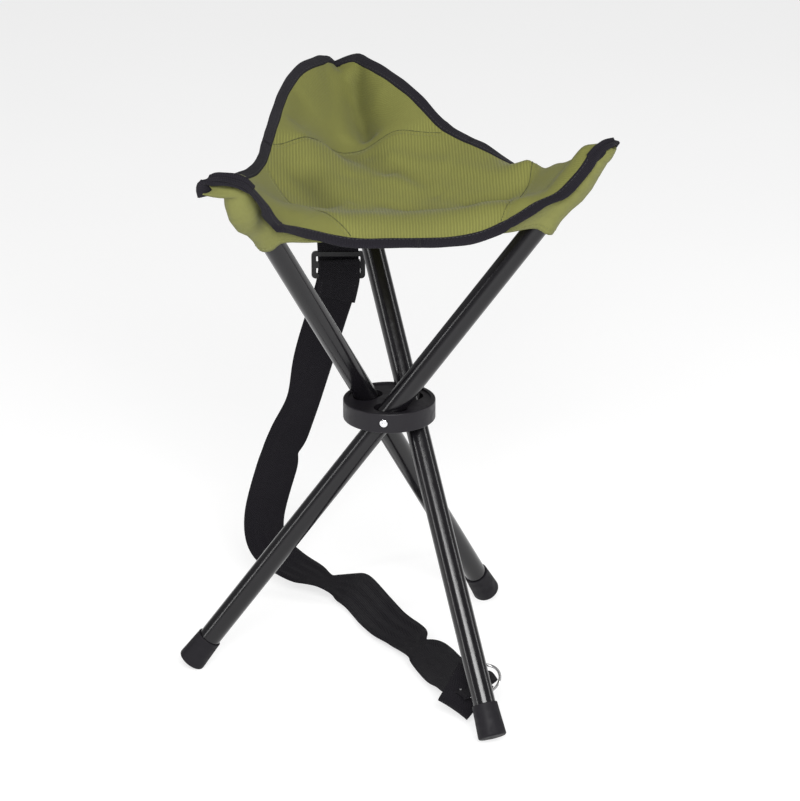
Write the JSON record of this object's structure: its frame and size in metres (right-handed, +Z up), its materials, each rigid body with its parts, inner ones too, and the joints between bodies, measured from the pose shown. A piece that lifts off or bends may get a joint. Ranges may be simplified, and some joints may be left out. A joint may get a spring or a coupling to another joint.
{
  "type": "folding three leg stool",
  "caption": "Folding stool: steel tube legs crossing in a round hub, a sagging three-cornered olive fabric seat with black edging, rubber feet and a webbing carry strap.",
  "frame": {"origin": "on the hub's upright axis, at floor level, midway between the three feet", "axes": "+Z up along the hub's axis; +Y towards the seat's back corner, where the carry strap hangs; +X to the right"},
  "size_m": [0.3706, 0.4039, 0.5261],
  "materials": {
    "leg_paint": "gloss black powder coat",
    "foot_rubber": "matte black rubber",
    "hub_plastic": "matte black moulded nylon",
    "plug_plastic": "black plastic",
    "slider_plastic": "black plastic",
    "screw_steel": "zinc plated steel",
    "ring_steel": "bright nickel plated steel",
    "seat_fabric": "olive green ribbed polyester",
    "black_tape": "black woven binding tape",
    "strap_webbing": "black woven webbing"
  },
  "bodies": {
    "hub": {"hub_body": "hub_plastic", "seat_panel": "seat_fabric", "edge_binding_front": "black_tape", "edge_binding_right": "black_tape", "edge_binding_left": "black_tape", "pivot_screw_left": "screw_steel", "pivot_screw_right": "screw_steel", "pivot_screw_back": "screw_steel"},
    "leg_left": {"leg_tube_left": "leg_paint", "foot_cap_left": "foot_rubber", "top_plug_left": "plug_plastic", "corner_pocket_left": "seat_fabric", "tip_tape_left": "black_tape"},
    "leg_right": {"leg_tube_right": "leg_paint", "foot_cap_right": "foot_rubber", "top_plug_right": "plug_plastic", "corner_pocket_right": "seat_fabric", "tip_tape_right": "black_tape"},
    "leg_back": {"leg_tube_back": "leg_paint", "foot_cap_back": "foot_rubber", "top_plug_back": "plug_plastic", "corner_pocket_back": "seat_fabric", "tip_tape_back": "black_tape", "strap_anchor_tab": "strap_webbing", "strap_slider": "slider_plastic", "strap_webbing": "strap_webbing", "strap_ring": "ring_steel", "strap_end_tab": "strap_webbing"}
  },
  "joints": [
    {"name": "fold_left", "type": "hinge", "parent": "hub", "child": "leg_left", "pos_m": [-0.01256, 0.01683, 0.25353], "axis": [-0.5981, 0.8014, 0], "range_deg": [0, 36], "deforming": ["seat_panel", "edge_binding_front", "edge_binding_right", "edge_binding_left", "corner_pocket_left", "tip_tape_left"]},
    {"name": "fold_right", "type": "hinge", "parent": "hub", "child": "leg_right", "pos_m": [-0.00829, -0.01929, 0.25353], "axis": [-0.395, -0.9187, 0], "range_deg": [0, 36], "deforming": ["corner_pocket_right", "tip_tape_right"]},
    {"name": "fold_back", "type": "hinge", "parent": "hub", "child": "leg_back", "pos_m": [0.02085, 0.00246, 0.25353], "axis": [0.9931, 0.1173, 0], "range_deg": [0, 36], "deforming": ["corner_pocket_back", "tip_tape_back", "strap_anchor_tab", "strap_webbing", "strap_end_tab"]}
  ],
  "couplings": [
    {"joint": "fold_right", "follows": "fold_left", "ratio": 1},
    {"joint": "fold_back", "follows": "fold_left", "ratio": 1}
  ]
}
